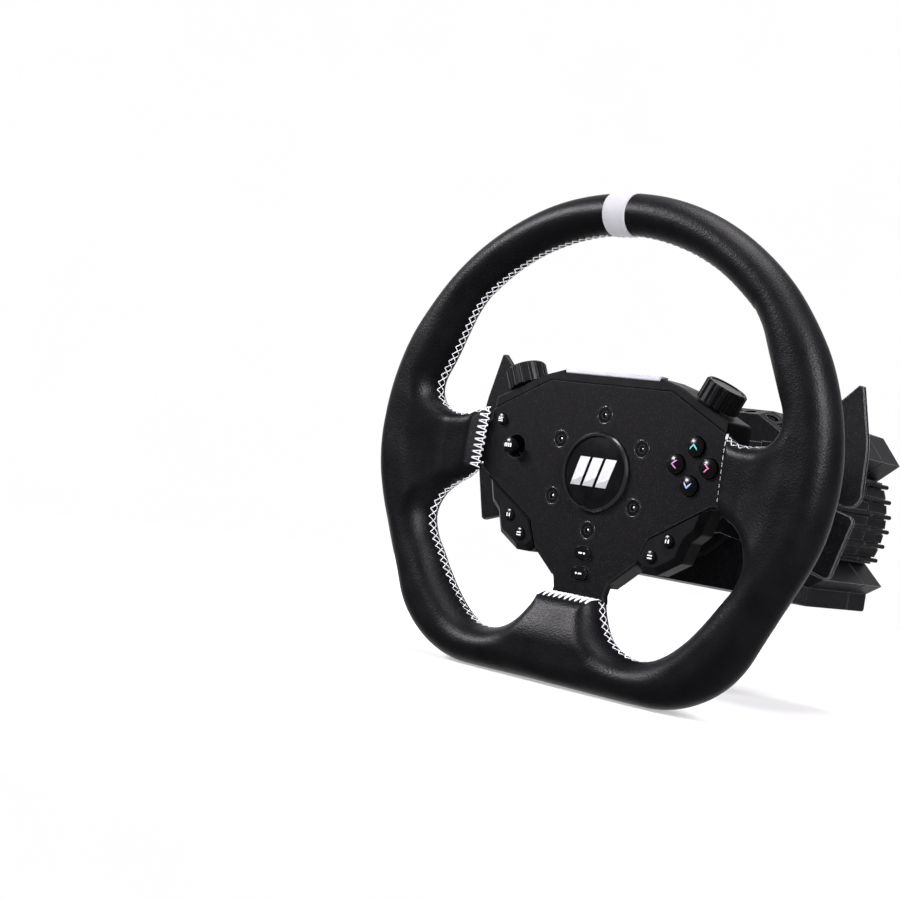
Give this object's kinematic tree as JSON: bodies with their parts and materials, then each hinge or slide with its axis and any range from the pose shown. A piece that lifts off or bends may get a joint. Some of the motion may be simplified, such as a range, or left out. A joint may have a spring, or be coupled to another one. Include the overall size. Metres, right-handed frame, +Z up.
{
  "type": "racing wheel",
  "caption": "D-shaped leather racing wheel with a button plate, rotary knobs and paddles, on a quick release and a finned direct-drive motor base.",
  "frame": {"origin": "centre of the four-hole bolt pattern on the base's flat underside", "axes": "+X to the driver's right, +Y away from the driver along the motor shaft, +Z up"},
  "size_m": [0.3286, 0.2274, 0.2966],
  "materials": {
    "leather": "smooth satin leather",
    "light_leather": "smooth pale leather",
    "plate_metal": "fine matte black anodised",
    "core_metal": "cast",
    "gloss_black": "gloss",
    "matte_black": "fine texture",
    "knob_black": "satin",
    "strip_plastic": "satin translucent",
    "screw_black": "black oxide",
    "steel": "machined",
    "paddle_metal": "fine textured black",
    "casing": "satin black",
    "heat_sink": "black anodised",
    "board": "solder mask",
    "magnet": "nickel plated",
    "copper": "enamelled copper"
  },
  "bodies": {
    "base": {"front_casing": "casing", "rear_casing": "casing", "rear_cover": "matte_black", "honeycomb_vent": "casing", "left_heat_sink": "heat_sink", "right_heat_sink": "heat_sink", "bearing_cap": "matte_black", "front_bearing": "steel", "rear_bearing": "steel", "rear_bearing_plate": "core_metal", "motor_housing": "core_metal", "motor_stator": "copper", "encoder_board": "board", "control_board": "board", "port_block": "matte_black", "mount_plate": "core_metal", "cover_screws": "screw_black"},
    "wheel": {"motor_shaft": "steel", "motor_rotor": "steel", "encoder_disc": "steel", "quick_release_nose": "steel", "hub_adapter": "core_metal", "rim_core": "core_metal", "rim_grip": "leather", "centre_band": "light_leather", "face_plate": "plate_metal", "hub_badge": "gloss_black", "badge_ring": "gloss_black", "hub_screws": "screw_black", "front_housing": "matte_black", "rear_housing": "matte_black", "light_strip": "strip_plastic", "button_board": "board", "left_encoder": "matte_black", "right_encoder": "matte_black", "joystick_socket": "gloss_black", "paddle_carrier": "paddle_metal", "paddle_pins": "steel", "paddle_magnets": "magnet"},
    "face_button_top": {"face_button_top": "gloss_black"},
    "face_button_left": {"face_button_left": "gloss_black"},
    "face_button_right": {"face_button_right": "gloss_black"},
    "face_button_bottom": {"face_button_bottom": "gloss_black"},
    "menu_button": {"menu_button": "gloss_black"},
    "left_wing_button_upper": {"left_wing_button_upper": "gloss_black"},
    "left_wing_button_lower": {"left_wing_button_lower": "gloss_black"},
    "right_wing_button_upper": {"right_wing_button_upper": "gloss_black"},
    "right_wing_button_lower": {"right_wing_button_lower": "gloss_black"},
    "oval_button_upper": {"oval_button_upper": "gloss_black"},
    "oval_button_lower": {"oval_button_lower": "gloss_black"},
    "power_button": {"power_button": "gloss_black"},
    "joystick_gimbal": {"joystick_gimbal": "matte_black"},
    "joystick_stick": {"joystick_stick": "gloss_black"},
    "left_knob": {"left_knob": "knob_black"},
    "left_upper_paddle": {"left_upper_paddle": "paddle_metal"},
    "left_lower_paddle": {"left_lower_paddle": "paddle_metal"},
    "right_knob": {"right_knob": "knob_black"},
    "right_upper_paddle": {"right_upper_paddle": "paddle_metal"},
    "right_lower_paddle": {"right_lower_paddle": "paddle_metal"},
    "release_collar": {"release_collar": "knob_black"}
  },
  "joints": [
    {"name": "wheel_spin", "type": "hinge", "parent": "base", "child": "wheel", "pos_m": [0, -0.05, 0.061], "axis": [0, 1, 0], "continuous": true},
    {"name": "face_button_top_press", "type": "slide", "parent": "wheel", "child": "face_button_top", "axis": [0, 1, 0], "range_m": [0, 0.0012], "stiffness_N_per_m": 400, "springref_m": -0.0006},
    {"name": "face_button_left_press", "type": "slide", "parent": "wheel", "child": "face_button_left", "axis": [0, 1, 0], "range_m": [0, 0.0012], "stiffness_N_per_m": 400, "springref_m": -0.0006},
    {"name": "face_button_right_press", "type": "slide", "parent": "wheel", "child": "face_button_right", "axis": [0, 1, 0], "range_m": [0, 0.0012], "stiffness_N_per_m": 400, "springref_m": -0.0006},
    {"name": "face_button_bottom_press", "type": "slide", "parent": "wheel", "child": "face_button_bottom", "axis": [0, 1, 0], "range_m": [0, 0.0012], "stiffness_N_per_m": 400, "springref_m": -0.0006},
    {"name": "menu_button_press", "type": "slide", "parent": "wheel", "child": "menu_button", "axis": [0, 1, 0], "range_m": [0, 0.001], "stiffness_N_per_m": 350, "springref_m": -0.0006},
    {"name": "left_wing_button_upper_press", "type": "slide", "parent": "wheel", "child": "left_wing_button_upper", "axis": [0, 1, 0], "range_m": [0, 0.001], "stiffness_N_per_m": 350, "springref_m": -0.0006},
    {"name": "left_wing_button_lower_press", "type": "slide", "parent": "wheel", "child": "left_wing_button_lower", "axis": [0, 1, 0], "range_m": [0, 0.001], "stiffness_N_per_m": 350, "springref_m": -0.0006},
    {"name": "right_wing_button_upper_press", "type": "slide", "parent": "wheel", "child": "right_wing_button_upper", "axis": [0, 1, 0], "range_m": [0, 0.001], "stiffness_N_per_m": 350, "springref_m": -0.0006},
    {"name": "right_wing_button_lower_press", "type": "slide", "parent": "wheel", "child": "right_wing_button_lower", "axis": [0, 1, 0], "range_m": [0, 0.001], "stiffness_N_per_m": 350, "springref_m": -0.0006},
    {"name": "oval_button_upper_press", "type": "slide", "parent": "wheel", "child": "oval_button_upper", "axis": [0, 1, 0], "range_m": [0, 0.001], "stiffness_N_per_m": 350, "springref_m": -0.0006},
    {"name": "oval_button_lower_press", "type": "slide", "parent": "wheel", "child": "oval_button_lower", "axis": [0, 1, 0], "range_m": [0, 0.001], "stiffness_N_per_m": 350, "springref_m": -0.0006},
    {"name": "power_button_press", "type": "slide", "parent": "base", "child": "power_button", "axis": [0, -1, 0], "range_m": [0, 0.0012], "stiffness_N_per_m": 400, "springref_m": -0.0006},
    {"name": "stick_left_right", "type": "hinge", "parent": "wheel", "child": "joystick_gimbal", "pos_m": [-0.0646, -0.1335, 0.0704], "axis": [0, 0, 1], "range_deg": [-18, 18], "stiffness_Nm_per_rad": 0.02},
    {"name": "stick_up_down", "type": "hinge", "parent": "joystick_gimbal", "child": "joystick_stick", "pos_m": [-0.0646, -0.1335, 0.0704], "axis": [1, 0, 0], "range_deg": [-18, 18], "stiffness_Nm_per_rad": 0.02},
    {"name": "left_knob_turn", "type": "hinge", "parent": "wheel", "child": "left_knob", "pos_m": [-0.0693, -0.131, 0.10823], "axis": [-0.4321, 0, 0.9018], "continuous": true},
    {"name": "left_upper_paddle_pull", "type": "hinge", "parent": "wheel", "child": "left_upper_paddle", "pos_m": [-0.08, -0.0825, 0.061], "axis": [0, 0, 1], "range_deg": [0, 5], "stiffness_Nm_per_rad": 1.6, "springref_deg": -2.86},
    {"name": "left_lower_paddle_pull", "type": "hinge", "parent": "wheel", "child": "left_lower_paddle", "pos_m": [-0.08, -0.0825, 0.061], "axis": [0, 0, 1], "range_deg": [0, 5], "stiffness_Nm_per_rad": 1.2, "springref_deg": -2.86},
    {"name": "right_knob_turn", "type": "hinge", "parent": "wheel", "child": "right_knob", "pos_m": [0.0693, -0.131, 0.10823], "axis": [0.4321, 0, 0.9018], "continuous": true},
    {"name": "right_upper_paddle_pull", "type": "hinge", "parent": "wheel", "child": "right_upper_paddle", "pos_m": [0.08, -0.0825, 0.061], "axis": [0, 0, -1], "range_deg": [0, 5], "stiffness_Nm_per_rad": 1.6, "springref_deg": -2.86},
    {"name": "right_lower_paddle_pull", "type": "hinge", "parent": "wheel", "child": "right_lower_paddle", "pos_m": [0.08, -0.0825, 0.061], "axis": [0, 0, -1], "range_deg": [0, 5], "stiffness_Nm_per_rad": 1.2, "springref_deg": -2.86},
    {"name": "collar_release", "type": "slide", "parent": "wheel", "child": "release_collar", "axis": [0, -1, 0], "range_m": [0, 0.004], "stiffness_N_per_m": 900, "springref_m": -0.003}
  ]
}
